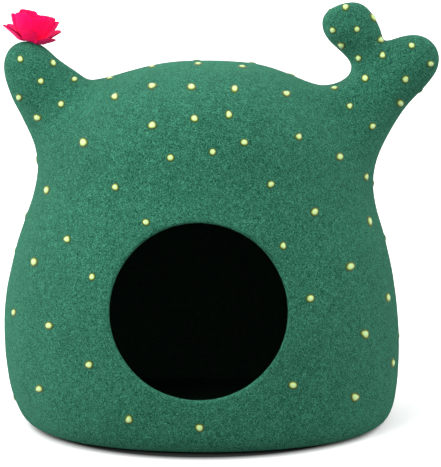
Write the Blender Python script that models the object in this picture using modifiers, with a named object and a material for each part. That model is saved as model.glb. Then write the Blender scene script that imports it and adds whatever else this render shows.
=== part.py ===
"""Felt cat cave in the shape of a cactus, in metres, +Z up, with the entrance facing -Y.

The cave is one wet-felted shell: a round body with a flat base, two hollow arms that grow out of its
shoulders, and a cut entrance. A felt flower of three cut layers is sewn on the tip of the left arm.
"""

import math
from collections import namedtuple

import bmesh
import bpy
from mathutils import Matrix, Vector

# ---------------------------------------------------------------- driving dimensions, in metres
WALL = 0.007  # felt of the cave
CAVE_LEVELS = 2  # subdivision of the outside
CAVITY_LEVELS = 1  # subdivision of the inside

ENTRANCE_RADIUS = 0.086
ENTRANCE_X = -0.003
ENTRANCE_HEIGHT = 0.143  # of its middle, on the outside of the front wall
ENTRANCE_SLOPE = math.radians(7.0)  # the front wall leans back by this much
ENTRANCE_FRONT = -0.190  # Y of the wall at the middle of the entrance
ENTRANCE_REACH = 0.060  # the cutter runs this far to each side of the wall
ENTRANCE_SIDES = 48

PETAL_FELT = 0.0015
FLOWER_GAP = 0.0004  # between the arm's tip and the flower, and between its layers
FLOWER_LEAN = math.radians(11.0)  # to the right
FLOWER_X = -0.1820
FLOWER_Y = 0.000
PETALS = 6  # in each layer
PETAL_SEGMENTS = 8  # round each petal
PETAL_RINGS = 6  # from the middle of a layer to its tips
FELT_STEPS = 24  # for adding up the felt's slope
MERGE = 1e-5

# ---------------------------------------------------------------- tables
# The body's cage, from the middle of the base to the crown. The felt runs a little inside the cage.
BodyRow = namedtuple("BodyRow", "height half_width half_depth lean")
BODY_ROWS = (
    BodyRow(0.000, 0.000, 0.000, 0.004),  # middle of the base
    BodyRow(0.000, 0.090, 0.086, 0.004),
    BodyRow(0.000, 0.174, 0.166, 0.004),
    BodyRow(0.000, 0.206, 0.196, 0.004),  # the base's rounded edge starts here
    BodyRow(0.052, 0.211, 0.200, 0.000),
    BodyRow(0.124, 0.213, 0.202, -0.003),  # the widest
    BodyRow(0.200, 0.193, 0.184, -0.003),
    BodyRow(0.258, 0.173, 0.168, 0.001),  # under the arms
    BodyRow(0.305, 0.165, 0.162, 0.001),
    BodyRow(0.348, 0.120, 0.128, 0.000),  # shoulders
    BodyRow(0.376, 0.064, 0.068, -0.001),
    BodyRow(0.381, 0.000, 0.000, -0.001),  # crown
)
CAP_FACES = 4  # across the square grids of the base and the crown, so 4 * CAP_FACES round the side
BASE_ROWS = 3  # rows in the base's grid: its middle and two rings
CROWN_ROWS = 3  # rows in the crown's grid: the shoulders, a ring and its middle
SIDE_FACES = len(BODY_ROWS) - BASE_ROWS - CROWN_ROWS + 1  # between the two grids

# Cross-sections of an arm's cage, from the root to the tip. angle is the way the arm runs there, up from
# the horizontal, and half_width is across the arm as seen from the front.
ArmRow = namedtuple("ArmRow", "x z angle half_width half_depth")
LEFT_ARM = (
    ArmRow(-0.152, 0.332, 139.0, 0.044, 0.046),
    ArmRow(-0.177, 0.359, 132.0, 0.035, 0.037),
    ArmRow(-0.190, 0.386, 112.0, 0.0275, 0.029),
)
LEFT_TIP = Vector((-0.197, 0.0, 0.407))
RIGHT_ARM = (
    ArmRow(0.182, 0.346, 52.0, 0.034, 0.040),
    ArmRow(0.209, 0.372, 44.0, 0.034, 0.037),
    ArmRow(0.233, 0.390, 38.0, 0.026, 0.028),
)
RIGHT_TIP = Vector((0.243, 0.0, 0.398))
# The lobe that buds from the upper side of the right arm, between its first two sections.
BUD = (
    ArmRow(0.168, 0.393, 124.0, 0.023, 0.027),
    ArmRow(0.151, 0.413, 120.0, 0.034, 0.036),
    ArmRow(0.138, 0.432, 112.0, 0.025, 0.027),
)
# How the shoulder's felt is drawn, on the inner side of each arm.
LEFT_SADDLE = Vector((0.000, 0.0, 0.005))
RIGHT_SADDLE = Vector((0.021, 0.0, -0.013))

# The flower's layers, from the one on the arm upwards. reach runs along the felt from the layer's middle to
# its petals' tips, and notch is the share of it where the notches between petals end. A higher blunt makes
# squarer petals. slopes gives the felt's slope, in degrees, at shares of the reach, and lifts adds to it
# petal by petal.
Layer = namedtuple("Layer", "name reach notch blunt turn slopes lifts")
FLOWER_LAYERS = (
    Layer("flower_outer", 0.036, 0.58, 3.0, -5.0,
          ((0.0, 0), (0.28, -7), (0.42, 42), (1.0, 36)), (3, 1, -6, -4, -1, 0)),
    Layer("flower_middle", 0.042, 0.84, 5.0, 43.0,
          ((0.0, 0), (0.20, -4), (0.32, 50), (0.60, 66), (1.0, 90)), (0, 3, -3, 2, -2, -6)),
    Layer("flower_inner", 0.034, 0.72, 3.6, 15.0,
          ((0.0, 0), (0.16, -3), (0.34, 70), (1.0, 82)), (-2, 2, 4, -3, 0, 1)),
)


# ---------------------------------------------------------------- scene and materials
def clear_scene():
    for obj in list(bpy.data.objects):
        bpy.data.objects.remove(obj, do_unlink=True)


def make_collection(name):
    collection = bpy.data.collections.new(name)
    bpy.context.scene.collection.children.link(collection)
    return collection


def make_material(name, colour, roughness):
    material = bpy.data.materials.new(name)
    material.use_nodes = True
    shader = material.node_tree.nodes["Principled BSDF"]
    shader.inputs["Base Color"].default_value = (*colour, 1.0)
    shader.inputs["Roughness"].default_value = roughness
    shader.inputs["Metallic"].default_value = 0.0
    return material


def make_object(name, bm, collection, material=None):
    mesh = bpy.data.meshes.new(name)
    bmesh.ops.recalc_face_normals(bm, faces=bm.faces[:])
    bm.to_mesh(mesh)
    bm.free()
    mesh.shade_smooth()
    obj = bpy.data.objects.new(name, mesh)
    if material:
        mesh.materials.append(material)
    collection.objects.link(obj)
    return obj


def as_cutter(obj):
    obj.hide_render = True
    obj.display_type = "WIRE"


def add_subdivision(obj, levels):
    modifier = obj.modifiers.new("smooth felt", "SUBSURF")
    modifier.levels = levels
    modifier.render_levels = levels


def cut_away(obj, cutter):
    modifier = obj.modifiers.new("cut " + cutter.name, "BOOLEAN")
    modifier.operation = "DIFFERENCE"
    modifier.object = cutter


# ---------------------------------------------------------------- body of the cave
def is_upright(edge):
    return abs(edge.verts[0].co.z - edge.verts[1].co.z) > 1.0


def boxed_cage():
    """A cube from -1 to 1 with SIDE_FACES rows up its sides and a square grid on its base and crown."""
    bm = bmesh.new()
    bmesh.ops.create_cube(bm, size=2.0)
    upright = [edge for edge in bm.edges if is_upright(edge)]
    bmesh.ops.subdivide_edges(bm, edges=upright, cuts=SIDE_FACES - 1)
    level = [edge for edge in bm.edges if edge.calc_length() > 1.0]
    bmesh.ops.subdivide_edges(bm, edges=level, cuts=CAP_FACES - 1, use_grid_fill=True)
    return bm


def ring_and_angle(corner):
    """Which row of BODY_ROWS a corner of the boxed cage belongs to, and its angle round the body."""
    share = max(abs(corner.x), abs(corner.y))  # 0 at the middle of a cap, 1 on its edge
    if abs(corner.x) >= abs(corner.y):
        eighth = corner.y / corner.x if share else 0.0
        angle = math.pi / 4 * eighth + (math.pi if corner.x < 0 else 0.0)
    else:
        angle = math.pi / 2 - math.pi / 4 * corner.x / corner.y + (math.pi if corner.y < 0 else 0.0)
    level = round((corner.z + 1) / 2 * SIDE_FACES)
    inside = round((1 - share) * CAP_FACES / 2)  # rings in from the cap's edge
    if level == 0:
        return BASE_ROWS - 1 - inside, angle
    if level == SIDE_FACES:
        return len(BODY_ROWS) - CROWN_ROWS + inside, angle
    return BASE_ROWS - 1 + level, angle


def shape_body(bm):
    """Puts every corner of the boxed cage on its ring, and notes the row and the angle of each."""
    place = {}
    for vert in bm.verts:
        index, angle = ring_and_angle(vert.co)
        row = BODY_ROWS[index]
        place[vert] = (index, angle)
        vert.co = (
            row.lean + row.half_width * math.cos(angle),
            row.half_depth * math.sin(angle),
            row.height,
        )
    return place


# ---------------------------------------------------------------- arms
def root_of_arm(bm, place, side):
    """The two by two faces of the shoulder that an arm grows from, and each corner's place across them."""
    shoulder = len(BODY_ROWS) - CROWN_ROWS
    centre_angle = 0.0 if side > 0 else math.pi
    step = 2 * math.pi / (4 * CAP_FACES)
    spot = {}
    for vert, (index, angle) in place.items():
        turn = math.remainder(angle - centre_angle, 2 * math.pi)
        up, aside = index - (shoulder - 1), round(turn / step)
        if abs(up) <= 1 and abs(aside) <= 1:
            spot[vert] = (up, aside * side)
    faces = [face for face in bm.faces if all(vert in spot for vert in face.verts)]
    return faces, spot


def extrude(bm, faces, spot):
    """Extrudes the faces. Gives the new ones, and the place across the arm of each new corner."""
    old = {vert.co.to_tuple(6): place for vert, place in spot.items()}
    made = bmesh.ops.extrude_face_region(bm, geom=faces)["geom"]
    bmesh.ops.delete(bm, geom=faces, context="FACES")
    new_faces = [item for item in made if isinstance(item, bmesh.types.BMFace)]
    corners = {vert for face in new_faces for vert in face.verts}
    return new_faces, {vert: old[vert.co.to_tuple(6)] for vert in corners}


def place_section(row, spot, directions):
    """Moves the corners of one cross-section. directions gives each place's unit direction in it."""
    along = Vector((math.cos(math.radians(row.angle)), 0.0, math.sin(math.radians(row.angle))))
    across = Vector((-along.z, 0.0, along.x))
    if along.x < 0:
        across.negate()  # across points to the upper, inner side of either arm
    for vert, place in spot.items():
        wide, deep = directions[place]
        vert.co = (
            Vector((row.x, 0.0, row.z))
            + across * (wide * row.half_width)
            + Vector((0.0, 1.0, 0.0)) * (deep * row.half_depth)
        )


def octagon():
    """Unit directions of the eight corners round a two by two block, with its middle at zero."""
    directions = {(0, 0): (0.0, 0.0)}
    for up in (-1, 0, 1):
        for aside in (-1, 0, 1):
            if up or aside:
                length = math.hypot(up, aside)
                directions[(up, aside)] = (up / length, aside / length)
    return directions


def hexagon():
    """Unit directions of the six corners round a one by two block."""
    narrow, deep = math.cos(math.radians(60)), math.sin(math.radians(60))
    return {
        (side, aside): (side * (narrow if aside else 1.0), aside * deep)
        for side in (-1, 1)
        for aside in (-1, 0, 1)
    }


def grow_arm(bm, place, side, rows, tip, saddle):
    """Extrudes an arm from the shoulder through its sections, and gives the corners of each."""
    faces, spot = root_of_arm(bm, place, side)
    for vert, where in spot.items():
        if where == (1, 0):
            vert.co += saddle
    sections = [spot]
    for row in rows:
        faces, spot = extrude(bm, faces, spot)
        place_section(row, spot, octagon())
        sections.append(spot)
    for vert, where in spot.items():
        if where == (0, 0):
            vert.co = tip
    return sections


def grow_bud(bm, lower, upper, rows):
    """Extrudes the bud from the upper side of an arm, between its sections lower and upper."""
    spot = {}
    for section, side in ((lower, -1), (upper, 1)):
        for vert, (up, aside) in section.items():
            if up == 1:
                spot[vert] = (side, aside)
    faces = [face for face in bm.faces if all(vert in spot for vert in face.verts)]
    for row in rows:
        faces, spot = extrude(bm, faces, spot)
        place_section(row, spot, hexagon())


def cave_cage():
    bm = boxed_cage()
    place = shape_body(bm)
    grow_arm(bm, place, -1, LEFT_ARM, LEFT_TIP, LEFT_SADDLE)
    sections = grow_arm(bm, place, 1, RIGHT_ARM, RIGHT_TIP, RIGHT_SADDLE)
    grow_bud(bm, sections[1], sections[2], BUD)
    return bm


# ---------------------------------------------------------------- cave
def build_cavity(cutters):
    """The hollow: the cave's own form, a wall's thickness smaller all over."""
    cavity = make_object("cavity", cave_cage(), cutters)
    add_subdivision(cavity, CAVITY_LEVELS)
    inset = cavity.modifiers.new("inside of the wall", "DISPLACE")
    inset.strength = -WALL
    inset.mid_level = 0.0
    as_cutter(cavity)
    return cavity


def build_entrance(cutters):
    bm = bmesh.new()
    bmesh.ops.create_cone(
        bm, cap_ends=True, segments=ENTRANCE_SIDES,
        radius1=ENTRANCE_RADIUS, radius2=ENTRANCE_RADIUS, depth=2 * ENTRANCE_REACH,
    )
    entrance = make_object("entrance", bm, cutters)
    entrance.location = (ENTRANCE_X, ENTRANCE_FRONT, ENTRANCE_HEIGHT)
    entrance.rotation_euler = (math.pi / 2 - ENTRANCE_SLOPE, 0.0, 0.0)
    as_cutter(entrance)
    return entrance


def build_cave(parts, cutters, material):
    cave = make_object("cave", cave_cage(), parts, material)
    add_subdivision(cave, CAVE_LEVELS)
    cut_away(cave, build_cavity(cutters))
    cut_away(cave, build_entrance(cutters))
    return cave


# ---------------------------------------------------------------- flower
def slope_at(slopes, share):
    """The felt's slope in degrees at a share of the way to the tips, read between the rows of slopes."""
    for (start, low), (end, high) in zip(slopes, slopes[1:]):
        if share <= end:
            return low + (high - low) * (share - start) / (end - start)
    return slopes[-1][1]


def along_felt(layer, distance, lift):
    """Radius and height of the felt at a distance along it from the layer's middle."""
    radius = height = 0.0
    for step in range(FELT_STEPS):
        share = (step + 0.5) / FELT_STEPS * distance / layer.reach
        slope = math.radians(slope_at(layer.slopes, share) + lift * min(1.0, share * 2))
        radius += math.cos(slope) * distance / FELT_STEPS
        height += math.sin(slope) * distance / FELT_STEPS
    return radius, height


def build_layer(layer, seat, level, parts, material):
    """One cut layer of the flower: a disc notched into petals and cupped."""
    bm = bmesh.new()
    spokes = [bm.verts.new((ring / PETAL_RINGS, 0.0, 0.0)) for ring in range(PETAL_RINGS + 1)]
    edges = [bm.edges.new(pair) for pair in zip(spokes, spokes[1:])]
    bmesh.ops.spin(
        bm, geom=spokes + edges, cent=(0, 0, 0), axis=(0, 0, 1), angle=2 * math.pi,
        steps=PETALS * PETAL_SEGMENTS, use_merge=True,
    )
    bmesh.ops.remove_doubles(bm, verts=bm.verts[:], dist=MERGE)
    petal_angle = 2 * math.pi / PETALS
    for vert in bm.verts:
        share = vert.co.xy.length
        angle = math.atan2(vert.co.y, vert.co.x) % (2 * math.pi)
        petal = int(angle / petal_angle + 1e-6) % PETALS
        across = abs((angle / petal_angle) % 1.0 * 2 - 1)  # 0 on the petal's middle line, 1 at its notches
        outline = layer.notch + (1 - layer.notch) * (1 - across ** layer.blunt)
        radius, height = along_felt(layer, share * outline * layer.reach, layer.lifts[petal])
        turned = angle + math.radians(layer.turn)
        vert.co = (radius * math.cos(turned), radius * math.sin(turned), height)
    flower = make_object(layer.name, bm, parts, material)
    felt = flower.modifiers.new("felt", "SOLIDIFY")
    felt.thickness = PETAL_FELT
    felt.offset = -1.0  # thickness goes to the inner side of the cup
    felt.use_even_offset = True
    flower.matrix_world = seat @ Matrix.Translation((0.0, 0.0, level))
    return flower


def find_seat(cave):
    """Where the flower is sewn: on the arm's tip, square to the flower's lean."""
    bpy.context.view_layer.update()
    graph = bpy.context.evaluated_depsgraph_get()
    down = Vector((-math.sin(FLOWER_LEAN), 0.0, -math.cos(FLOWER_LEAN)))
    above = Vector((FLOWER_X, FLOWER_Y, BODY_ROWS[-1].height)) - down * 0.2
    hit, spot, _normal, _face = cave.evaluated_get(graph).ray_cast(above, down)
    assert hit, "the flower misses the arm"
    return Matrix.Translation(spot) @ Matrix.Rotation(FLOWER_LEAN, 4, "Y")


def build_flower(cave, parts, material):
    seat = find_seat(cave)
    level = FLOWER_GAP
    for layer in FLOWER_LAYERS:
        build_layer(layer, seat, level, parts, material)
        level += PETAL_FELT + FLOWER_GAP


def main():
    clear_scene()
    parts = make_collection("cactus cat cave")
    cutters = make_collection("cutters")
    green_felt = make_material("green felt", (0.048, 0.195, 0.118), 0.95)
    pink_felt = make_material("pink felt", (0.90, 0.003, 0.095), 0.85)
    cave = build_cave(parts, cutters, green_felt)
    build_flower(cave, parts, pink_felt)


main()
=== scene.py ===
"""Dresses the felt cat cave: heathered green wool felt, pale needle-felted dots and a cupped pink flower.

Metres, +Z up, the entrance faces -Y. The shell and the flower's three layers are modelled here on the places
of their solids, and the dots lie on the shell.
"""
import math
import random
from collections import namedtuple

import bmesh
import bpy
from mathutils import Matrix, Vector, noise
from mathutils.bvhtree import BVHTree


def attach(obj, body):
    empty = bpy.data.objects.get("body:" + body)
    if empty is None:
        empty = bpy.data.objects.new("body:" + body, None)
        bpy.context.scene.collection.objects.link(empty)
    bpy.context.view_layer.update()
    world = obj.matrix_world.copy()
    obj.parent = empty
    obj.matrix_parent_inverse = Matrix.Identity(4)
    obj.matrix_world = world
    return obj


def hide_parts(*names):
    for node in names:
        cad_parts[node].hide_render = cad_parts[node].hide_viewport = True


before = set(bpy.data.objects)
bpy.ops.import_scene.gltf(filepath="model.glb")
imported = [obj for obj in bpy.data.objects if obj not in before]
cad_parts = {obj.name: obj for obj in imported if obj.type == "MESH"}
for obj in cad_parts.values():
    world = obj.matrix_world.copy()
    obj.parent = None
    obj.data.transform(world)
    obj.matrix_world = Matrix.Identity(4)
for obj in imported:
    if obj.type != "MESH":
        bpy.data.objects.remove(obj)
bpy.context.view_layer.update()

BODY = "root"  # the one body that everything rides on

# ---------------------------------------------------------------- the cave's felt, in metres
WALL = 0.007
SHELL_LEVELS = 3  # subdivision of the shell's cage
RIM_ROUNDING = 0.0034  # of the cut felt edge round the entrance
RIM_SEGMENTS = 4
LUMP_HEIGHT = 0.0011  # of the hand-felted unevenness
LUMP_SCALE = 21.0  # lumps per metre
DIMPLE_HEIGHT = 0.00035
DIMPLE_SCALE = 50.0  # dimples per metre
FLAT_BASE = 0.004  # felt below this height keeps its place, so that the base stays flat
LUMP_FADE = 0.030  # height over which the lumps grow to their full size
BASE_SQUARE = 0.07  # how far the base's plan is drawn towards a rounded square
BASE_SQUARE_TOP = 0.10  # height where the plan is round again

ENTRANCE_RADIUS = 0.0865
ENTRANCE_WIDER = 1.02  # how much wider than high it is cut
ENTRANCE_MIDDLE = Vector((-0.003, -0.190, 0.143))
ENTRANCE_SLOPE = math.radians(7.0)
ENTRANCE_OUT = Vector((0.0, -math.cos(ENTRANCE_SLOPE), math.sin(ENTRANCE_SLOPE)))
ENTRANCE_UP = Vector((0.0, math.sin(ENTRANCE_SLOPE), math.cos(ENTRANCE_SLOPE)))
ENTRANCE_ROWS = (4, 5, 6)  # rows of the body's cage whose front faces the entrance takes out
ENTRANCE_PULL = 0.085  # how far from the entrance the felt's grid is drawn to its round form
INSIDE_PULL = 0.030  # the same for the inner side of the wall
CAST_FROM = 0.3  # how far off a ray starts that looks for the felt

BodyRow = namedtuple("BodyRow", "height half_width half_depth lean")
BODY_ROWS = (
    BodyRow(0.000, 0.000, 0.000, 0.004),  # middle of the base
    BodyRow(0.000, 0.090, 0.086, 0.004),
    BodyRow(0.000, 0.174, 0.166, 0.004),
    BodyRow(0.000, 0.201, 0.190, 0.004),  # the base's rounded edge starts here
    BodyRow(0.052, 0.213, 0.200, -0.0005),
    BodyRow(0.124, 0.2146, 0.202, -0.002),  # the widest
    BodyRow(0.200, 0.197, 0.184, -0.0015),
    BodyRow(0.258, 0.1728, 0.168, 0.0005),  # under the arms
    BodyRow(0.305, 0.1635, 0.162, -0.0005),
    BodyRow(0.348, 0.120, 0.128, 0.000),  # shoulders
    BodyRow(0.375, 0.075, 0.068, 0.0085),
    BodyRow(0.381, 0.000, 0.000, 0.004),  # crown
)
CAP_FACES = 4  # along each side of the square grid on the base and on the crown
BASE_ROWS = 3  # rows of the table that lie in the base's grid, and the same for the crown
CROWN_ROWS = 3
SIDE_FACES = len(BODY_ROWS) - BASE_ROWS - CROWN_ROWS + 1
FACE_ANGLE = math.tau / (4 * CAP_FACES)  # that one face of the body spans
ENTRANCE_HALF_FACES = 1.5  # how far the entrance reaches to each side in the body's cage, in faces

# Material numbers. The skin has the first two, and the shell with its wall has the last three.
KEPT, TAKEN_OUT = 0, 1
OUTSIDE, INSIDE, CUT_EDGE = 0, 1, 2

ArmRow = namedtuple("ArmRow", "x z angle half_width half_depth")
LEFT_ARM = (
    ArmRow(-0.152, 0.332, 139.0, 0.044, 0.046),
    ArmRow(-0.177, 0.359, 132.0, 0.035, 0.037),
    ArmRow(-0.190, 0.386, 112.0, 0.0275, 0.029),
)
LEFT_TIP = Vector((-0.197, 0.0, 0.407))
RIGHT_ARM = (
    ArmRow(0.1825, 0.346, 52.0, 0.0340, 0.040),
    ArmRow(0.2090, 0.371, 44.0, 0.0348, 0.037),
    ArmRow(0.2345, 0.3897, 38.0, 0.0262, 0.028),
)
RIGHT_TIP = Vector((0.2475, 0.0, 0.3985))
BUD = (
    ArmRow(0.169, 0.393, 124.0, 0.0245, 0.027),
    ArmRow(0.152, 0.413, 120.0, 0.0345, 0.036),
    ArmRow(0.1385, 0.4355, 112.0, 0.026, 0.028),
)
# How the shoulder's felt is drawn, on the inner side of each arm.
LEFT_SADDLE = Vector((0.000, 0.0, 0.007))
RIGHT_SADDLE = Vector((0.022, 0.0, -0.011))

# ---------------------------------------------------------------- dots
DOT_RADIUS = (0.0028, 0.0036)  # least and most, away from the front
DOT_SIDES = 16
DotRing = namedtuple("DotRing", "reach rise")  # share of the dot's radius, metres above the felt
DOT_RINGS = (
    DotRing(1.46, 0.0000),
    DotRing(1.26, 0.0003),
    DotRing(1.02, 0.0006),
    DotRing(0.60, 0.0013),
)
DOT_TOP = 0.0016
DOT_STRETCH = 1.7  # most that a dot of the front is lengthened where the felt turns from the viewer
LEAST_FACING = 0.1  # keeps that stretch finite where the felt is seen edge on
DOT_LOBES = (2, 3)  # waves round a dot's edge
DOT_WOBBLE = 0.11  # most that one wave adds, as a share of the radius
DOT_SPACING = 0.037  # least distance between dots away from the front
DOT_TRIES = 5000
DOT_LOWEST = 0.022  # height above the floor
DOT_FROM_RIM = 0.016  # from the entrance's edge
DOT_SEED = 7
SCATTER_WIDE, SCATTER_HIGH = 0.25, 0.43  # the upright area through the middle that the seeking rays aim at
SCATTER_FROM = 0.6  # how far off they start
SEEN_WITHIN = 0.002  # a place this near to what the camera sees there is on the front

# Where the dots of the front are seen and how wide they are, in millimetres, on the upright plane through the
# middle of the base.
MILLIMETRE = 0.001
Dot = namedtuple("Dot", "across up wide")
FRONT_DOTS = tuple(Dot(*spot) for spot in (
    # left arm
    (-190, 379, 5.8), (-156, 375, 5.8), (-169, 356, 5.8), (-134, 358, 5.2), (-97, 359, 6.0), (-192, 339, 5.9),
    (-148, 332, 6.0), (-173, 318, 6.4),
    # crown and upper front, from the left
    (-125, 292, 7.3), (-92, 340, 7.0), (-53, 371, 6.6), (-5, 374, 6.6), (-53, 351, 7.3), (-12, 350, 6.9),
    (-53, 310, 6.9), (-9, 317, 6.3), (-34, 276, 6.1), (10, 282, 5.9), (41, 371, 6.4), (93, 363, 6.2),
    (33, 348, 6.5), (87, 343, 6.7), (27, 321, 6.4), (43, 292, 6.2), (100, 298, 5.9), (143, 277, 6.4),
    (137, 349, 6.4),
    # bud and right arm
    (148, 433, 6.2), (177, 422, 7.8), (135, 409, 5.5), (160, 410, 5.6), (144, 393, 6.2), (185, 399, 6.2),
    (162, 380, 5.5), (187, 383, 6.0), (217, 393, 5.8), (237, 374, 5.8), (169, 359, 6.4), (211, 358, 6.4),
    (206, 333, 6.5), (153, 330, 5.6), (177, 309, 5.9),
    # left of the entrance
    (-164, 242, 7.4), (-92, 245, 6.0), (-60, 208, 6.0), (-143, 190, 6.0), (-178, 166, 7.3), (-117, 150, 5.7),
    (-200, 112, 6.6), (-163, 98, 6.5), (-121, 56, 6.5), (-174, 30, 6.6), (-79, -3, 6.7),
    # right of the entrance and below it
    (71, 248, 6.1), (171, 256, 6.4), (117, 219, 6.8), (175, 209, 7.8), (84, 183, 5.9), (155, 161, 7.3),
    (113, 127, 6.8), (195, 128, 7.8), (-4, -12, 6.9), (171, 89, 7.3), (201, 58, 7.6), (95, 34, 6.9),
    (161, 21, 7.2),
))

# ---------------------------------------------------------------- flower
PETAL_FELT = 0.0015
FLOWER_GAP = 0.0004  # between one layer and the next, and between the lowest and the arm
FLOWER_LEAN = math.radians(11.0)
FLOWER_X = -0.1820
PETALS = 6
PETAL_SEGMENTS = 20  # across one petal
PETAL_RINGS = 15  # from the middle to a petal's tip
ON_THE_LINE = 1e-6  # puts a corner between two petals into the second
FELT_STEPS = 40  # in which the felt's rise is added up from the middle outwards
LIFT_FULL_AT = 0.5  # share of the reach where a petal has its own lift in full

# reach is the radius of the flat disc, and notch the share of it that the cuts leave whole. blunt rounds the
# petals' tips. slopes gives the felt's rise in degrees at shares of the reach. lifts adds to it for each
# petal, and lengths is each petal's share of the reach.
Layer = namedtuple("Layer", "node name reach notch blunt turn slopes lifts lengths")
FLOWER_LAYERS = (
    Layer(
        "flower_outer", "outer_petals", reach=0.036, notch=0.58, blunt=3.0, turn=-5.0,
        slopes=((0.0, 0), (0.28, -7), (0.42, 42), (1.0, 36)),
        lifts=(3, 1, -6, -8, 4, -14),
        lengths=(1, 1, 1, 1, 0.80, 0.86),
    ),
    Layer(
        "flower_middle", "middle_petals", reach=0.042, notch=0.90, blunt=7.0, turn=28.0,
        slopes=((0.0, 0), (0.20, -4), (0.32, 50), (0.60, 66), (1.0, 90)),
        lifts=(-3, 0, -8, -2, -3, -8),
        lengths=(0.97, 1.02, 0.92, 0.95, 0.93, 0.93),
    ),
    Layer(
        "flower_inner", "inner_petals", reach=0.034, notch=0.72, blunt=3.6, turn=15.0,
        slopes=((0.0, 0), (0.16, -3), (0.34, 70), (1.0, 82)),
        lifts=(-2, 2, 4, -3, 0, 1),
        lengths=(1, 1, 1, 1, 1, 1),
    ),
)

# ---------------------------------------------------------------- camera and picture
PICTURE_WIDE, PICTURE_HIGH = 441, 467  # points of the picture
POINT = 0.0010633  # metres that one point covers at the camera's distance
CAMERA_DISTANCE = 2.2
CAMERA_TILT = math.radians(7.0)  # above the horizon
BASE_SEEN_AT = (203.3, 416.5)  # the point of the picture where the base's middle is seen
SENSOR = 36.0  # millimetres

FLOOR_SIZE = 300.0  # half of its side
FLOOR_WHITE = (0.97, 0.97, 0.97)  # as the camera sees it
FLOOR_BOUNCE = (0.30, 0.30, 0.30)  # as it lights the felt
SHADE_DARK = (0.025, 0.028, 0.027)  # of the painted contact shadow under the front of the base
SHADE_MIDDLE = (0.000, -0.032)  # x and y
SHADE_REACH = (0.184, 0.181)  # half width and half depth of the shade, where it has faded out
SHADE_FADE = 0.86  # share of the reach where it starts to fade
WORLD_STRENGTH = 0.83
SUNS = (  # name, azimuth, height, angle across, strength
    ("key sun", -84.0, 6.0, 100.0, 7.2),
    ("fill sun", 80.0, 20.0, 90.0, 3.4),
)
SOFTBOX_PLACE = (-0.40, -0.85, 0.95)
SOFTBOX_AIM = (0.0, -0.1, 0.28)
SOFTBOX_SIZE = 0.6
SOFTBOX_POWER = 6.2

# ---------------------------------------------------------------- colours and grain
FeltColours = namedtuple("FeltColours", "dark middle light fleck")
OUTSIDE_COLOURS = FeltColours(
    dark=(0.004, 0.042, 0.025), middle=(0.012, 0.084, 0.051), light=(0.040, 0.184, 0.114),
    fleck=(0.09, 0.26, 0.18),
)
# The same green felt darkened to near black: painted shade inside the closed cave.
INSIDE_SHADED_COLOURS = FeltColours(
    dark=(0.008, 0.026, 0.017), middle=(0.014, 0.045, 0.029), light=(0.024, 0.070, 0.045),
    fleck=(0.04, 0.10, 0.07),
)
OUTSIDE_FUZZ, INSIDE_FUZZ = 0.25, 0.0
FUZZ_TINT = (0.15, 0.60, 0.38)  # of the loose wool that shows where the felt turns away
FUZZ_ROUGHNESS = 0.30
FELT_SPECULAR = 0.08

Grain = namedtuple("Grain", "scale detail roughness distortion")
CURLS = Grain(400.0, 2.0, 0.6, 2.2)  # curly fibres a few millimetres across
FIBRES = Grain(720.0, 1.0, 0.6, 2.4)
PATCHES = Grain(16.0, 3.0, 0.55, 0.0)
STRAYS = Grain(480.0, 2.0, 0.5, 3.2)  # pale single hairs
CURLS_SHARE = 0.66  # of the grain, and the rest is fibres
GRAIN_DARK, GRAIN_MIDDLE, GRAIN_LIGHT = 0.40, 0.50, 0.59
STRAYS_FROM, STRAYS_TO, STRAYS_MOST = 0.60, 0.70, 0.6
PATCH_LOW, PATCH_HIGH = 0.36, 0.64
PATCH_DARKEST, PATCH_LIGHTEST = 0.94, 1.04

PINK_DARK, PINK_LIGHT = (0.80, 0.0008, 0.070), (0.98, 0.0014, 0.105)
SHADED_CUT_DARK, SHADED_CUT_LIGHT = (0.22, 0.001, 0.028), (0.36, 0.002, 0.045)  # the same wool darkened as painted shade along the cut edges
PINK_GRAIN = Grain(700.0, 3.0, 0.6, 1.5)
PINK_GRAIN_DARK, PINK_GRAIN_LIGHT = 0.40, 0.60
PINK_FUZZ_TINT = (1.0, 0.14, 0.50)
PINK_FUZZ, CUT_FUZZ = 0.55, 0.0
PINK_FUZZ_ROUGHNESS = 0.4
PINK_GLOW = 0.5  # share of the light that goes into the thin felt
PINK_GLOW_REACH = (1.0, 0.05, 0.25)  # for red, green and blue, as shares of the depth
PINK_GLOW_DEPTH = 0.004

DOT_COLOURS_AND_SHADE = (  # share of the dot's outermost ring, colour
    (0.00, (0.43, 0.62, 0.33)),
    (0.46, (0.39, 0.53, 0.20)),
    # Olive where the yellow fibres thin into the green, then a ring darker than the felt: painted shade round
    # the tuft's foot.
    (0.63, (0.14, 0.19, 0.028)),
    (0.76, (0.024, 0.050, 0.009)),
    (1.00, (0.013, 0.072, 0.040)),
)
DOT_RAGGED = Grain(900.0, 2.0, 0.5, 0.0)
DOT_RAGGED_BY = 0.4  # how far the grain shifts a colour's edge
DOT_GRAIN = Grain(1000.0, 2.0, 0.6, 1.5)
DOT_FUZZ = 0.2
DOT_FUZZ_ROUGHNESS = 0.5
DOT_FUZZ_TINT = (1.0, 1.0, 0.8)

MERGE = 1e-5  # corners nearer than this are one
TINY = 1e-9  # keeps a division finite


# ---------------------------------------------------------------- helpers
def make_object(name, mesh):
    obj = bpy.data.objects.new(name, mesh)
    bpy.context.scene.collection.objects.link(obj)
    return obj


def mesh_from(bm, name):
    mesh = bpy.data.meshes.new(name)
    bm.to_mesh(mesh)
    bm.free()
    mesh.shade_smooth()
    return mesh


def worked_out(obj):
    """A bmesh of the object with its modifiers applied. The object is removed."""
    graph = bpy.context.evaluated_depsgraph_get()
    bm = bmesh.new()
    bm.from_object(obj, graph)
    bpy.data.objects.remove(obj, do_unlink=True)
    return bm


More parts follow.
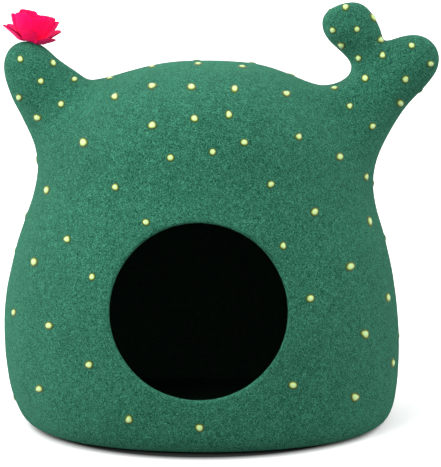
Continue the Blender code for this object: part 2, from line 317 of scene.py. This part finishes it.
def surface_of(obj):
    """The object's faces, for finding the place of one thing on another."""
    corners = [vert.co for vert in obj.data.vertices]
    return BVHTree.FromPolygons(corners, [face.vertices for face in obj.data.polygons])


def smooth_step(share):
    share = min(1.0, max(0.0, share))
    return share * share * (3 - 2 * share)


# ---------------------------------------------------------------- cage of the cave
def boxed_cage():
    """A cube from -1 to 1 with SIDE_FACES rows up its sides and a square grid on its base and crown."""
    bm = bmesh.new()
    bmesh.ops.create_cube(bm, size=2.0)
    upright = [edge for edge in bm.edges if edge.verts[0].co.xy == edge.verts[1].co.xy]
    bmesh.ops.subdivide_edges(bm, edges=upright, cuts=SIDE_FACES - 1)
    level = [edge for edge in bm.edges if edge.calc_length() > 1.0]  # the upright ones are short now
    bmesh.ops.subdivide_edges(bm, edges=level, cuts=CAP_FACES - 1, use_grid_fill=True)
    return bm


def ring_and_angle(corner):
    """The row of the body's table that a corner of the cube belongs to, and its angle round the body."""
    share = max(abs(corner.x), abs(corner.y))
    if abs(corner.x) >= abs(corner.y):
        eighth = corner.y / corner.x if share else 0.0
        angle = math.pi / 4 * eighth + (math.pi if corner.x < 0 else 0.0)
    else:
        angle = math.pi / 2 - math.pi / 4 * corner.x / corner.y + (math.pi if corner.y < 0 else 0.0)
    level = round((corner.z + 1) / 2 * SIDE_FACES)
    inside = round((1 - share) * CAP_FACES / 2)
    if level == 0:
        return BASE_ROWS - 1 - inside, angle
    if level == SIDE_FACES:
        return len(BODY_ROWS) - CROWN_ROWS + inside, angle
    return BASE_ROWS - 1 + level, angle


def shape_body(bm):
    """Moves the cube's corners to the body's rows. Returns each corner's row and angle."""
    place = {}
    for vert in bm.verts:
        index, angle = ring_and_angle(vert.co)
        row = BODY_ROWS[index]
        place[vert] = (index, angle)
        round_off = 1.0 - BASE_SQUARE * (1.0 - smooth_step(row.height / BASE_SQUARE_TOP))
        vert.co = (
            row.lean + row.half_width * math.copysign(abs(math.cos(angle)) ** round_off, math.cos(angle)),
            row.half_depth * math.copysign(abs(math.sin(angle)) ** round_off, math.sin(angle)),
            row.height,
        )
    return place


def mark_entrance(bm, place):
    """Gives the faces that the entrance takes out a material number of their own."""
    inside = set()
    for vert, (index, angle) in place.items():
        turn = math.remainder(angle + math.pi / 2, math.tau)
        if index in ENTRANCE_ROWS and abs(turn) < ENTRANCE_HALF_FACES * FACE_ANGLE:
            inside.add(vert)
    for face in bm.faces:
        if all(vert in inside for vert in face.verts):
            face.material_index = TAKEN_OUT


def root_of_arm(bm, place, side):
    """The four faces that an arm grows from, and each corner's place in them, from -1 to 1 up and aside."""
    shoulder = len(BODY_ROWS) - CROWN_ROWS
    centre_angle = 0.0 if side > 0 else math.pi
    spot = {}
    for vert, (index, angle) in place.items():
        turn = math.remainder(angle - centre_angle, math.tau)
        up, aside = index - (shoulder - 1), round(turn / FACE_ANGLE)
        if abs(up) <= 1 and abs(aside) <= 1:
            spot[vert] = (up, aside * side)
    faces = [face for face in bm.faces if all(vert in spot for vert in face.verts)]
    return faces, spot


def extrude(bm, faces, spot):
    """Extrudes faces in place and takes the old ones out. The new corners keep the places of the old."""
    old = {vert.co.to_tuple(6): place for vert, place in spot.items()}
    made = bmesh.ops.extrude_face_region(bm, geom=faces)["geom"]
    bmesh.ops.delete(bm, geom=faces, context="FACES")
    new_faces = [item for item in made if isinstance(item, bmesh.types.BMFace)]
    corners = {vert for face in new_faces for vert in face.verts}
    return new_faces, {vert: old[vert.co.to_tuple(6)] for vert in corners}


def place_section(row, spot, directions):
    """Moves an arm's new corners to the section that a row gives."""
    along = Vector((math.cos(math.radians(row.angle)), 0.0, math.sin(math.radians(row.angle))))
    across = Vector((-along.z, 0.0, along.x))
    if along.x < 0:
        across.negate()
    for vert, place in spot.items():
        wide, deep = directions[place]
        vert.co = (
            Vector((row.x, 0.0, row.z))
            + across * (wide * row.half_width)
            + Vector((0.0, 1.0, 0.0)) * (deep * row.half_depth)
        )


def octagon():
    """Where a section's corners lie for each place of an arm's root, across and deep."""
    directions = {(0, 0): (0.0, 0.0)}
    for up in (-1, 0, 1):
        for aside in (-1, 0, 1):
            if up or aside:
                length = math.hypot(up, aside)
                directions[(up, aside)] = (up / length, aside / length)
    return directions


def hexagon():
    """The same for the bud, whose root is only two faces."""
    narrow, deep = math.cos(math.radians(60)), math.sin(math.radians(60))
    return {
        (side, aside): (side * (narrow if aside else 1.0), aside * deep)
        for side in (-1, 1)
        for aside in (-1, 0, 1)
    }


def grow_arm(bm, place, side, rows, tip, saddle):
    """Draws one arm out of the shoulder. Returns the corners of its sections."""
    faces, spot = root_of_arm(bm, place, side)
    for vert, where in spot.items():
        if where == (1, 0):
            vert.co += saddle
    sections = [spot]
    for row in rows:
        faces, spot = extrude(bm, faces, spot)
        place_section(row, spot, octagon())
        sections.append(spot)
    for vert, where in spot.items():
        if where == (0, 0):
            vert.co = tip
    return sections


def grow_bud(bm, lower, upper, rows):
    """Draws the bud out of the upper faces between two sections of the right arm."""
    spot = {}
    for section, side in ((lower, -1), (upper, 1)):
        for vert, (up, aside) in section.items():
            if up == 1:
                spot[vert] = (side, aside)
    faces = [face for face in bm.faces if all(vert in spot for vert in face.verts)]
    for row in rows:
        faces, spot = extrude(bm, faces, spot)
        place_section(row, spot, hexagon())


def cave_cage():
    bm = boxed_cage()
    place = shape_body(bm)
    mark_entrance(bm, place)
    grow_arm(bm, place, -1, LEFT_ARM, LEFT_TIP, LEFT_SADDLE)
    sections = grow_arm(bm, place, 1, RIGHT_ARM, RIGHT_TIP, RIGHT_SADDLE)
    grow_bud(bm, sections[1], sections[2], BUD)
    bmesh.ops.recalc_face_normals(bm, faces=bm.faces[:])
    return bm


# ---------------------------------------------------------------- shell
def felted_skin():
    """The outside of the cave as a smooth closed skin. Faces in the entrance are marked TAKEN_OUT."""
    skin = make_object("skin", mesh_from(cave_cage(), "skin"))
    smooth = skin.modifiers.new("smooth felt", "SUBSURF")
    smooth.levels = smooth.render_levels = SHELL_LEVELS
    return worked_out(skin)


def from_entrance(point):
    """Distance and angle of a point from the entrance's axis."""
    offset = point - ENTRANCE_MIDDLE
    across, up = offset.x / ENTRANCE_WIDER, offset.dot(ENTRANCE_UP)
    return math.hypot(across, up), math.atan2(up, across)


def away_from_entrance(angle):
    """The direction in the plane of the entrance at an angle, as long as the entrance is wide there."""
    return Vector((math.cos(angle) * ENTRANCE_WIDER, 0.0, 0.0)) + ENTRANCE_UP * math.sin(angle)


def edge_reach(loop, angle):
    """Distance of the unshaped edge from the entrance's middle at an angle, read between its corners."""
    for (start, near), (end, far) in zip(loop, loop[1:]):
        if start <= angle <= end:
            return near + (far - near) * (angle - start) / max(end - start, TINY)
    return loop[0][1]


def edge_loop(verts):
    """Angle and distance of each corner round the entrance, in order, with one more past each end."""
    loop = sorted(from_entrance(vert.co)[::-1] for vert in verts)
    (first, near), (last, far) = loop[0], loop[-1]
    return [(last - math.tau, far)] + loop + [(first + math.tau, near)]


def corners_of(bm, material):
    """The corners of all faces with one material number."""
    return {vert for face in bm.faces if face.material_index == material for vert in face.verts}


def open_entrance(bm):
    """Draws the grid round the entrance to its round form, on the felt's surface, and opens the middle."""
    surface = BVHTree.FromBMesh(bm)
    outer = corners_of(bm, KEPT)
    loop = edge_loop(corners_of(bm, TAKEN_OUT) & outer)
    for vert in outer:
        if vert.co.y > 0.0 or vert.co.z < FLAT_BASE:
            continue
        distance, angle = from_entrance(vert.co)
        reach = edge_reach(loop, angle)
        fade = 1.0 - smooth_step((distance - reach) / ENTRANCE_PULL)
        if fade <= 0.0:
            continue
        distance += (ENTRANCE_RADIUS - reach) * fade
        aim = ENTRANCE_MIDDLE + away_from_entrance(angle) * distance
        hit = surface.ray_cast(aim + ENTRANCE_OUT * CAST_FROM, -ENTRANCE_OUT)[0]
        if hit:
            vert.co = hit
    taken = [face for face in bm.faces if face.material_index == TAKEN_OUT]
    bmesh.ops.delete(bm, geom=taken, context="FACES")


def roughen(bm):
    """The slight lumps and dimples of felt that was worked by hand."""
    bm.normal_update()
    moves = []
    for vert in bm.verts:
        keep = smooth_step((vert.co.z - FLAT_BASE) / LUMP_FADE)
        lump = noise.noise(vert.co * LUMP_SCALE) * LUMP_HEIGHT
        dimple = noise.noise(vert.co * DIMPLE_SCALE) * DIMPLE_HEIGHT
        moves.append((vert, vert.normal * (keep * (lump + dimple))))
    for vert, move in moves:
        vert.co += move


def square_cut(bm):
    """Draws the wall's inner side back from the entrance, so that its edge is cut straight through."""
    inside = corners_of(bm, INSIDE)
    loop = edge_loop(inside & corners_of(bm, CUT_EDGE))
    for vert in inside:
        distance, angle = from_entrance(vert.co)
        reach = edge_reach(loop, angle)
        fade = 1.0 - smooth_step((distance - reach) / INSIDE_PULL)
        if vert.co.y < 0.0 and fade > 0.0:
            vert.co += away_from_entrance(angle) * ((ENTRANCE_RADIUS - reach) * fade)


def thicken(bm):
    """Gives the skin its wall and a rounded cut edge, which then has the material of the outside."""
    shell = make_object("shell", mesh_from(bm, "shell"))
    wall = shell.modifiers.new("wall", "SOLIDIFY")
    wall.thickness = WALL
    wall.offset = -1.0
    wall.use_even_offset = True
    wall.material_offset = INSIDE
    wall.material_offset_rim = CUT_EDGE
    for _number in (OUTSIDE, INSIDE, CUT_EDGE):
        shell.data.materials.append(None)
    bm = worked_out(shell)
    square_cut(bm)
    corners = [
        edge for edge in bm.edges
        if len({face.material_index == CUT_EDGE for face in edge.link_faces}) == 2
    ]
    bmesh.ops.bevel(
        bm, geom=corners, offset=RIM_ROUNDING, offset_type="OFFSET", segments=RIM_SEGMENTS,
        profile=0.5, affect="EDGES", material=-1, clamp_overlap=True,
    )
    for face in bm.faces:
        if face.material_index == CUT_EDGE:
            face.material_index = OUTSIDE
    return bm


def build_shell(felt, inside_felt):
    bm = felted_skin()
    open_entrance(bm)
    roughen(bm)
    shell = make_object("cave_felt", mesh_from(thicken(bm), "cave_felt"))
    shell.data.materials.append(felt)
    shell.data.materials.append(inside_felt)
    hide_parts("cave")
    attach(shell, BODY)
    return shell


# ---------------------------------------------------------------- dots
def camera_place():
    """Where the camera stands, so that the base's middle is seen at its point of the picture."""
    right = Vector((1.0, 0.0, 0.0))
    up = Vector((0.0, math.sin(CAMERA_TILT), math.cos(CAMERA_TILT)))
    forward = Vector((0.0, math.cos(CAMERA_TILT), -math.sin(CAMERA_TILT)))
    aside = (BASE_SEEN_AT[0] - PICTURE_WIDE / 2) * POINT
    above = (PICTURE_HIGH / 2 - BASE_SEEN_AT[1]) * POINT
    return -forward * CAMERA_DISTANCE - right * aside - up * above


def front_spots(felt):
    """Where each dot of the front sits on the felt, with the felt's direction there."""
    eye = camera_place()
    spots = []
    for dot in FRONT_DOTS:
        aim = Vector((dot.across, 0.0, dot.up)) * MILLIMETRE
        hit, normal, _face, _far = felt.ray_cast(eye, (aim - eye).normalized())
        if hit is None:  # seen on the very edge of the outline
            hit, normal, _face, _far = felt.find_nearest(aim)
        spots.append((hit, normal))
    return spots


def other_spots(shell, felt, taken):
    """Evenly scattered places on the sides and back, found by rays from all round, at the front's spacing."""
    chance = random.Random(DOT_SEED)
    eye = camera_place()
    spots = list(taken)
    for _number in range(DOT_TRIES):
        across, up = chance.uniform(-SCATTER_WIDE, SCATTER_WIDE), chance.uniform(0.0, SCATTER_HIGH)
        turn, rise = chance.uniform(0.0, math.tau), chance.uniform(-1.0, 1.0)
        level = math.sqrt(1.0 - rise * rise)
        outward = Vector((level * math.cos(turn), level * math.sin(turn), rise))
        start = Vector((across, 0.0, up)) + outward * SCATTER_FROM
        spot, normal, face, _far = felt.ray_cast(start, -outward)
        if spot is None or spot.z < DOT_LOWEST or shell.data.polygons[face].material_index != OUTSIDE:
            continue
        seen = felt.ray_cast(eye, (spot - eye).normalized())[0]
        if seen is not None and (seen - spot).length < SEEN_WITHIN:
            continue
        if from_entrance(spot)[0] < ENTRANCE_RADIUS + DOT_FROM_RIM and spot.y < 0:
            continue
        if all((spot - other).length > DOT_SPACING for other, _normal in spots):
            spots.append((spot, normal))
    return spots[len(taken):]


def walk_from(start):
    """All corners joined to one corner."""
    found, waiting = {start}, [start]
    while waiting:
        for edge in waiting.pop().link_edges:
            for vert in edge.verts:
                if vert not in found:
                    found.add(vert)
                    waiting.append(vert)
    return found


def rise_of(share):
    """Height of a dot above the felt at a share of its radius."""
    rows = [(0.0, DOT_TOP)] + [(ring.reach, ring.rise) for ring in reversed(DOT_RINGS)]
    for (start, low), (end, high) in zip(rows, rows[1:]):
        if share <= end:
            return low + (high - low) * (share - start) / (end - start)
    return rows[-1][1]


def lay_dot(bm, felt, middle, normal, radius, stretch, chance):
    """One tuft on the felt: a poked disc of rings, turned, made uneven and lengthened along the view."""
    turn = Matrix.Rotation(chance.uniform(0.0, math.tau), 3, "Z")
    here = normal.to_track_quat("Z", "Y").to_matrix() @ turn
    view = (middle - camera_place()).normalized()
    aslant = (view - normal * view.dot(normal)).normalized()
    lobes = [
        (count, chance.uniform(-DOT_WOBBLE, DOT_WOBBLE), chance.uniform(0.0, math.tau))
        for count in DOT_LOBES
    ]
    from_middle = bm.verts.layers.float["from_middle"]
    tuft = bmesh.ops.create_circle(bm, cap_ends=True, segments=DOT_SIDES, radius=DOT_RINGS[0].reach)
    face = tuft["verts"][0].link_faces[0]
    for ring, next_ring in zip(DOT_RINGS, DOT_RINGS[1:]):
        bmesh.ops.inset_region(
            bm, faces=[face], thickness=ring.reach - next_ring.reach,
            use_boundary=True, use_even_offset=True,
        )
    top = bmesh.ops.poke(bm, faces=[face])["verts"][0]
    for vert in walk_from(top):
        share = vert.co.xy.length
        angle = math.atan2(vert.co.y, vert.co.x)
        out = 1.0 + sum(size * math.sin(count * angle + start) for count, size, start in lobes)
        flat = here @ Vector((vert.co.x, vert.co.y, 0.0)) * (radius * out)
        flat += aslant * (flat.dot(aslant) * (stretch - 1))
        ground, slope, _face, _far = felt.find_nearest(middle + flat)
        vert[from_middle] = share
        vert.co = ground + slope * rise_of(share)


def build_dots(shell, wool):
    felt = surface_of(shell)
    eye = camera_place()
    chance = random.Random(DOT_SEED + 1)
    front = front_spots(felt)
    bm = bmesh.new()
    bm.verts.layers.float.new("from_middle")
    for dot, (middle, normal) in zip(FRONT_DOTS, front):
        facing = -(middle - eye).normalized().dot(normal)
        stretch = min(DOT_STRETCH, 1 / max(facing, LEAST_FACING))
        lay_dot(bm, felt, middle, normal, dot.wide / 2 * MILLIMETRE, stretch, chance)
    for middle, normal in other_spots(shell, felt, front):
        radius = chance.uniform(*DOT_RADIUS)
        lay_dot(bm, felt, middle, normal, radius, 1.0, chance)
    dots = make_object("wool_dots", mesh_from(bm, "wool_dots"))
    dots.data.materials.append(wool)
    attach(dots, BODY)


# ---------------------------------------------------------------- flower
def slope_at(slopes, share):
    """The felt's rise in degrees at a share of the layer's reach."""
    for (start, low), (end, high) in zip(slopes, slopes[1:]):
        if share <= end:
            return low + (high - low) * (share - start) / (end - start)
    return slopes[-1][1]


def along_felt(layer, distance, lift):
    """Where a point of the flat disc comes to lie: its distance from the axis and its height."""
    radius = height = 0.0
    for step in range(FELT_STEPS):
        share = (step + 0.5) / FELT_STEPS * distance / layer.reach
        slope = math.radians(slope_at(layer.slopes, share) + lift * min(1.0, share / LIFT_FULL_AT))
        radius += math.cos(slope) * distance / FELT_STEPS
        height += math.sin(slope) * distance / FELT_STEPS
    return radius, height


def petal_outline(layer, across):
    """Share of the reach where the felt is cut, from 0 on the petal's middle line to 1 at its notches."""
    return layer.notch + (1 - layer.notch) * (1 - across ** layer.blunt)


def cupped_disc(layer):
    """A disc notched into petals and cupped, about the world's Z."""
    bm = bmesh.new()
    spokes = [bm.verts.new((ring / PETAL_RINGS, 0.0, 0.0)) for ring in range(PETAL_RINGS + 1)]
    edges = [bm.edges.new(pair) for pair in zip(spokes, spokes[1:])]
    bmesh.ops.spin(
        bm, geom=spokes + edges, cent=(0, 0, 0), axis=(0, 0, 1), angle=math.tau,
        steps=PETALS * PETAL_SEGMENTS, use_merge=True,
    )
    bmesh.ops.remove_doubles(bm, verts=bm.verts[:], dist=MERGE)
    petal_angle = math.tau / PETALS
    for vert in bm.verts:
        share = vert.co.xy.length
        angle = math.atan2(vert.co.y, vert.co.x) % (math.tau)
        petal = int(angle / petal_angle + ON_THE_LINE) % PETALS
        across = abs((angle / petal_angle) % 1.0 * 2 - 1)
        cut = share * petal_outline(layer, across) * layer.lengths[petal]
        radius, height = along_felt(layer, cut * layer.reach, layer.lifts[petal])
        turned = angle + math.radians(layer.turn)
        vert.co = (radius * math.cos(turned), radius * math.sin(turned), height)
    bmesh.ops.recalc_face_normals(bm, faces=bm.faces[:])
    return bm


def rise_to_clear(disc, surface, seat):
    """How far the disc moves out along the seat's axis until no corner of it is in the felt."""
    out = seat.to_3x3() @ Vector((0.0, 0.0, 1.0))
    rise = 0.0
    for vert in disc.verts:
        corner = seat @ vert.co
        hit = surface.ray_cast(corner + out * CAST_FROM, -out)[0]
        if hit:
            rise = max(rise, (hit - corner).dot(out))
    return rise


def build_layer(layer, bm, seat, level, felt, cut_edge):
    """One layer's disc set in its place, with its thickness."""
    # The V-shaped gaps in the flat cut close as it is cupped, so its area is that of the cupped felt.
    felt_area = sum(face.calc_area() for face in bm.faces)
    bmesh.ops.transform(bm, matrix=seat @ Matrix.Translation((0.0, 0.0, level)), verts=bm.verts[:])
    petals = make_object(layer.name, mesh_from(bm, layer.name))
    sheet = petals.modifiers.new("felt", "SOLIDIFY")
    sheet.thickness = PETAL_FELT
    sheet.offset = -1.0
    sheet.use_even_offset = True
    # The cut rim takes the second material: the pink darkened as painted shade.
    sheet.material_offset_rim = 1
    petals.data.materials.append(felt)
    petals.data.materials.append(cut_edge)
    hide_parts(layer.node)
    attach(petals, BODY)


def build_flower(cave, felt, cut_edge):
    """Three layers on the left arm's tip, the lowest just clear of the felt."""
    surface = surface_of(cave)
    down = Vector((-math.sin(FLOWER_LEAN), 0.0, -math.cos(FLOWER_LEAN)))
    spot = surface.ray_cast(Vector((FLOWER_X, 0.0, BODY_ROWS[-1].height)) - down * CAST_FROM, down)[0]
    seat = Matrix.Translation(spot) @ Matrix.Rotation(FLOWER_LEAN, 4, "Y")
    discs = [cupped_disc(layer) for layer in FLOWER_LAYERS]
    level = FLOWER_GAP + rise_to_clear(discs[0], surface, seat)
    for layer, disc in zip(FLOWER_LAYERS, discs):
        build_layer(layer, disc, seat, level, felt, cut_edge)
        level += PETAL_FELT + FLOWER_GAP


# ---------------------------------------------------------------- materials
class Finish:
    """A material of its own nodes, wired by short calls."""

    def __init__(self, name, roughness):
        self.material = bpy.data.materials.new(name)
        self.material.use_nodes = True
        self.tree = self.material.node_tree
        self.shader = self.tree.nodes["Principled BSDF"]
        self.shader.inputs["Roughness"].default_value = roughness
        self.place = self.tree.nodes.new("ShaderNodeTexCoord").outputs["Object"]

    def link(self, start, end):
        self.tree.links.new(start, end)

    def feed(self, socket, value):
        """Links another node's output to a socket, or gives it a number or a colour."""
        if isinstance(value, bpy.types.NodeSocket):
            self.link(value, socket)
        elif isinstance(value, tuple):
            socket.default_value = (*value, 1.0)
        else:
            socket.default_value = value

    def noise(self, grain):
        node = self.tree.nodes.new("ShaderNodeTexNoise")
        node.inputs["Scale"].default_value = grain.scale
        node.inputs["Detail"].default_value = grain.detail
        node.inputs["Roughness"].default_value = grain.roughness
        node.inputs["Distortion"].default_value = grain.distortion
        self.link(self.place, node.inputs["Vector"])
        return node.outputs["Fac"]

    def ramp(self, value, stops):
        node = self.tree.nodes.new("ShaderNodeValToRGB")
        row = node.color_ramp.elements
        while len(row) < len(stops):
            row.new(0.5)  # its place is set below
        for element, (position, colour) in zip(row, stops):
            element.position = position
            element.color = (*colour, 1.0)
        self.link(value, node.inputs["Fac"])
        return node.outputs["Color"]

    def mix(self, share, first, second, blend="MIX"):
        """Two colours mixed. The node's first, seventh and eighth inputs are those that colours use."""
        node = self.tree.nodes.new("ShaderNodeMix")
        node.data_type = "RGBA"
        node.blend_type = blend
        for number, value in ((0, share), (6, first), (7, second)):
            self.feed(node.inputs[number], value)
        return node.outputs[2]

    def sums(self, operation, first, second):
        node = self.tree.nodes.new("ShaderNodeMath")
        node.operation = operation
        self.feed(node.inputs[0], first)
        self.feed(node.inputs[1], second)
        return node.outputs[0]

    def bump(self, height, distance, strength):
        node = self.tree.nodes.new("ShaderNodeBump")
        node.inputs["Strength"].default_value = strength
        node.inputs["Distance"].default_value = distance
        self.link(height, node.inputs["Height"])
        self.link(node.outputs["Normal"], self.shader.inputs["Normal"])

    def fuzz(self, weight, roughness, tint):
        self.feed(self.shader.inputs["Sheen Weight"], weight)
        self.feed(self.shader.inputs["Sheen Roughness"], roughness)
        self.feed(self.shader.inputs["Sheen Tint"], tint)
        self.feed(self.shader.inputs["Specular IOR Level"], FELT_SPECULAR)


def grey(value):
    return (value, value, value)


def wool_felt(name, colours, fuzz_weight):
    """Heathered wool: curly fibres a few millimetres across, pale stray ones, and slow patches."""
    felt = Finish(name, roughness=0.95)
    curls = felt.noise(CURLS)
    fibres = felt.noise(FIBRES)
    patches = felt.noise(PATCHES)
    strays = felt.noise(STRAYS)
    curls_part = felt.sums("MULTIPLY", curls, CURLS_SHARE)
    grain = felt.sums("ADD", curls_part, felt.sums("MULTIPLY", fibres, 1.0 - CURLS_SHARE))
    colour = felt.ramp(grain, (
        (GRAIN_DARK, colours.dark), (GRAIN_MIDDLE, colours.middle), (GRAIN_LIGHT, colours.light),
    ))
    hairs = felt.ramp(strays, ((STRAYS_FROM, grey(0.0)), (STRAYS_TO, grey(STRAYS_MOST))))
    colour = felt.mix(hairs, colour, colours.fleck)
    slow = felt.ramp(patches, ((PATCH_LOW, grey(PATCH_DARKEST)), (PATCH_HIGH, grey(PATCH_LIGHTEST))))
    colour = felt.mix(1.0, colour, slow, "MULTIPLY")
    felt.link(colour, felt.shader.inputs["Base Color"])
    felt.bump(grain, distance=0.0022, strength=0.7)
    felt.fuzz(fuzz_weight, FUZZ_ROUGHNESS, FUZZ_TINT)
    return felt.material


def pink_petal_felt(name, dark, light, fuzz_weight):
    """Bright thin felt that light goes some way into."""
    felt = Finish(name, roughness=0.9)
    fibres = felt.noise(PINK_GRAIN)
    colour = felt.ramp(fibres, ((PINK_GRAIN_DARK, dark), (PINK_GRAIN_LIGHT, light)))
    felt.link(colour, felt.shader.inputs["Base Color"])
    felt.bump(fibres, distance=0.0006, strength=0.6)
    felt.fuzz(fuzz_weight, PINK_FUZZ_ROUGHNESS, PINK_FUZZ_TINT)
    felt.shader.inputs["Subsurface Weight"].default_value = PINK_GLOW
    felt.shader.inputs["Subsurface Radius"].default_value = PINK_GLOW_REACH
    felt.shader.inputs["Subsurface Scale"].default_value = PINK_GLOW_DEPTH
    return felt.material


def yellow_dot_wool():
    """Pale yellow wool that thins out to an olive fringe, then a dark ring of painted shade round the tuft's
    foot, and then the green under it.
    """
    wool = Finish("yellow dot wool", roughness=0.95)
    where = wool.tree.nodes.new("ShaderNodeAttribute")
    where.attribute_name = "from_middle"
    stray = wool.sums("MULTIPLY", wool.sums("SUBTRACT", wool.noise(DOT_RAGGED), 0.5), DOT_RAGGED_BY)
    ragged = wool.sums("DIVIDE", wool.sums("ADD", where.outputs["Fac"], stray), DOT_RINGS[0].reach)
    wool.link(wool.ramp(ragged, DOT_COLOURS_AND_SHADE), wool.shader.inputs["Base Color"])
    wool.bump(wool.noise(DOT_GRAIN), distance=0.0006, strength=0.6)
    wool.fuzz(DOT_FUZZ, DOT_FUZZ_ROUGHNESS, DOT_FUZZ_TINT)
    return wool.material


def floor_paint():
    """White paint with a painted contact shadow under the front of the base. It throws less light up on the
    felt than it shows to the eye.
    """
    paint = Finish("white floor", roughness=0.9)
    centred = paint.tree.nodes.new("ShaderNodeMapping")
    centred.inputs["Location"].default_value = (
        -SHADE_MIDDLE[0] / SHADE_REACH[0], -SHADE_MIDDLE[1] / SHADE_REACH[1], 0.0,
    )
    centred.inputs["Scale"].default_value = (1 / SHADE_REACH[0], 1 / SHADE_REACH[1], 1.0)
    paint.link(paint.place, centred.inputs["Vector"])
    reach = paint.tree.nodes.new("ShaderNodeVectorMath")
    reach.operation = "LENGTH"
    paint.link(centred.outputs["Vector"], reach.inputs[0])
    # Painted contact shadow: dark near the ellipse's middle, fading to the floor's white at its reach.
    shown = paint.ramp(reach.outputs["Value"], ((SHADE_FADE, SHADE_DARK), (1.0, FLOOR_WHITE)))
    seen = paint.tree.nodes.new("ShaderNodeLightPath").outputs["Is Camera Ray"]
    paint.link(paint.mix(seen, FLOOR_BOUNCE, shown), paint.shader.inputs["Base Color"])
    paint.shader.inputs["Specular IOR Level"].default_value = 0.0
    return paint.material


# ---------------------------------------------------------------- floor, lights and camera
def build_floor():
    bm = bmesh.new()
    bmesh.ops.create_grid(bm, x_segments=1, y_segments=1, size=FLOOR_SIZE)
    floor = make_object("floor", mesh_from(bm, "floor"))
    floor.data.materials.append(floor_paint())


def add_sun(name, azimuth, height, angle, strength):
    """A soft sun. azimuth is from the viewer's side to the right, and height is above the horizon."""
    light = bpy.data.lights.new(name, "SUN")
    light.energy = strength
    light.angle = math.radians(angle)
    lamp = bpy.data.objects.new(name, light)
    lamp.rotation_euler = (math.radians(90.0 - height), 0.0, math.radians(azimuth))
    bpy.context.scene.collection.objects.link(lamp)


def add_softbox():
    light = bpy.data.lights.new("near softbox", "AREA")
    light.shape = "SQUARE"
    light.size = SOFTBOX_SIZE
    light.energy = SOFTBOX_POWER
    lamp = bpy.data.objects.new("near softbox", light)
    lamp.location = SOFTBOX_PLACE
    lamp.rotation_euler = (Vector(SOFTBOX_AIM) - Vector(SOFTBOX_PLACE)).to_track_quat("-Z", "Y").to_euler()
    bpy.context.scene.collection.objects.link(lamp)


def build_lights():
    world = bpy.data.worlds.new("studio")
    world.use_nodes = True
    background = world.node_tree.nodes["Background"]
    background.inputs["Color"].default_value = (1.0, 1.0, 1.0, 1.0)
    background.inputs["Strength"].default_value = WORLD_STRENGTH
    bpy.context.scene.world = world
    for name, azimuth, height, angle, strength in SUNS:
        add_sun(name, azimuth, height, angle, strength)
    add_softbox()
    bpy.context.scene.view_settings.view_transform = "Standard"


def build_camera():
    data = bpy.data.cameras.new("camera")
    data.sensor_width = SENSOR
    data.lens = SENSOR * CAMERA_DISTANCE / (PICTURE_HIGH * POINT)
    camera = bpy.data.objects.new("camera", data)
    camera.location = camera_place()
    camera.rotation_euler = (math.pi / 2 - CAMERA_TILT, 0.0, 0.0)
    bpy.context.scene.collection.objects.link(camera)
    bpy.context.scene.camera = camera


# ---------------------------------------------------------------- make it
cave = build_shell(
    wool_felt("green wool felt", OUTSIDE_COLOURS, OUTSIDE_FUZZ),
    # The inside takes the felt darkened as painted shade.
    wool_felt("inside felt darkened as painted shade", INSIDE_SHADED_COLOURS, INSIDE_FUZZ),
)
build_dots(cave, yellow_dot_wool())
build_flower(
    cave,
    pink_petal_felt("pink petal felt", PINK_DARK, PINK_LIGHT, PINK_FUZZ),
    # The petals' cut edges take the pink darkened as painted shade.
    pink_petal_felt("pink cut edge in painted shade", SHADED_CUT_DARK, SHADED_CUT_LIGHT, CUT_FUZZ),
)
build_floor()
build_lights()
build_camera()
